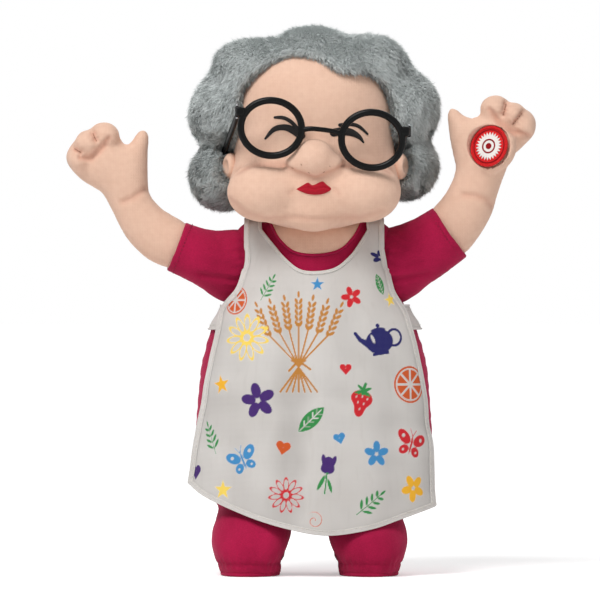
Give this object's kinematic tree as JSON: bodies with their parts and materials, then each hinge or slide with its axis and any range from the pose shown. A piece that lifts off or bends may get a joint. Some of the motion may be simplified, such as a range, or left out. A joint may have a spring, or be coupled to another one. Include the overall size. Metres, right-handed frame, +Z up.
{
  "type": "plush grandma doll",
  "caption": "Standing stuffed grandma doll with fur wig, round glasses and a printed apron; it sways at the waist when its palm is pressed.",
  "frame": {"origin": "middle of the bounding box on the surface that the soles stand on", "axes": "+Z up, the face looks along -Y, +X towards the doll's left hand"},
  "size_m": [0.3002, 0.133, 0.351],
  "materials": {
    "dress": "crimson-pink short velour",
    "skin": "pale peach brushed knit",
    "fur": "grey curly long pile",
    "apron": "off-white printed cotton with overlocked edges",
    "patch": "red felt disc with a printed star",
    "black_gloss": "gloss black moulded",
    "dark_plastic": "satin moulded",
    "housing": "matte moulded",
    "nylon": "natural moulded nylon",
    "steel": "bright zinc plated",
    "board": "green solder mask",
    "battery": "plain printed sleeve"
  },
  "bodies": {
    "legs": {"leg_left": "dress", "leg_right": "dress", "sole_left": "dress", "sole_right": "dress", "foot_plate_left": "nylon", "foot_plate_right": "nylon", "leg_post_left": "nylon", "leg_post_right": "nylon", "hip_base": "nylon", "waist_gear": "nylon", "waist_washer": "steel", "waist_screw": "steel"},
    "trunk": {"trunk_cover": "dress", "neck_skin": "skin", "apron": "apron", "apron_strap_left": "apron", "apron_strap_right": "apron", "apron_tab_left": "apron", "apron_tab_right": "apron", "apron_tab_closure": "apron", "housing_front": "housing", "housing_back": "housing", "housing_screw_1": "steel", "housing_screw_2": "steel", "housing_screw_3": "steel", "housing_screw_4": "steel", "gearbox_case": "nylon", "motor_can": "steel", "speaker": "dark_plastic", "circuit_board": "board", "battery_1": "battery", "battery_2": "battery", "battery_3": "battery", "shoulder_yoke": "nylon", "neck_post": "nylon", "shoulder_pin_left": "steel", "shoulder_pin_right": "steel"},
    "pinion": {"drive_pinion": "nylon"},
    "door": {"battery_door": "dark_plastic", "battery_door_screw": "steel"},
    "switch": {"power_switch": "black_gloss"},
    "head": {"head": "skin", "head_socket": "nylon", "ear_left": "skin", "ear_right": "skin", "wig": "fur", "glasses_front": "black_gloss", "glasses_temple_left": "black_gloss", "glasses_temple_right": "black_gloss"},
    "left_arm": {"arm_rod_left": "nylon", "sleeve_left": "dress", "hand_left": "skin", "press_case": "housing"},
    "right_arm": {"arm_rod_right": "nylon", "sleeve_right": "dress", "hand_right": "skin"},
    "press_button": {"press_plunger": "housing", "press_patch": "patch"}
  },
  "joints": [
    {"name": "waist_twist", "type": "hinge", "parent": "legs", "child": "trunk", "pos_m": [0.0085, 0, 0.07], "axis": [0, 0, 1], "range_deg": [-12, 12]},
    {"name": "pinion_spin", "type": "hinge", "parent": "trunk", "child": "pinion", "pos_m": [0.0085, -0.024, 0.07], "axis": [0, 0, 1], "range_deg": [-36, 36]},
    {"name": "head_turn", "type": "hinge", "parent": "trunk", "child": "head", "pos_m": [0.0085, 0, 0.22], "axis": [0, 0, 1], "range_deg": [-22, 22]},
    {"name": "left_arm_raise", "type": "hinge", "parent": "trunk", "child": "left_arm", "pos_m": [0.0565, 0, 0.197], "axis": [0, -1, 0], "range_deg": [-30, 0]},
    {"name": "right_arm_raise", "type": "hinge", "parent": "trunk", "child": "right_arm", "pos_m": [-0.0395, 0, 0.197], "axis": [0, 1, 0], "range_deg": [-22, 10]},
    {"name": "palm_press", "type": "slide", "parent": "left_arm", "child": "press_button", "axis": [0.5011, 0.8419, -0.2004], "range_m": [0, 0.002], "stiffness_N_per_m": 300, "springref_m": -0.001},
    {"name": "switch_slide", "type": "slide", "parent": "trunk", "child": "switch", "axis": [0, 0, 1], "range_m": [0, 0.0035]},
    {"name": "door_lift_off", "type": "slide", "parent": "trunk", "child": "door", "axis": [0, 1, 0], "range_m": [0, 0.025]}
  ],
  "couplings": [
    {"joint": "pinion_spin", "follows": "waist_twist", "ratio": 3}
  ]
}
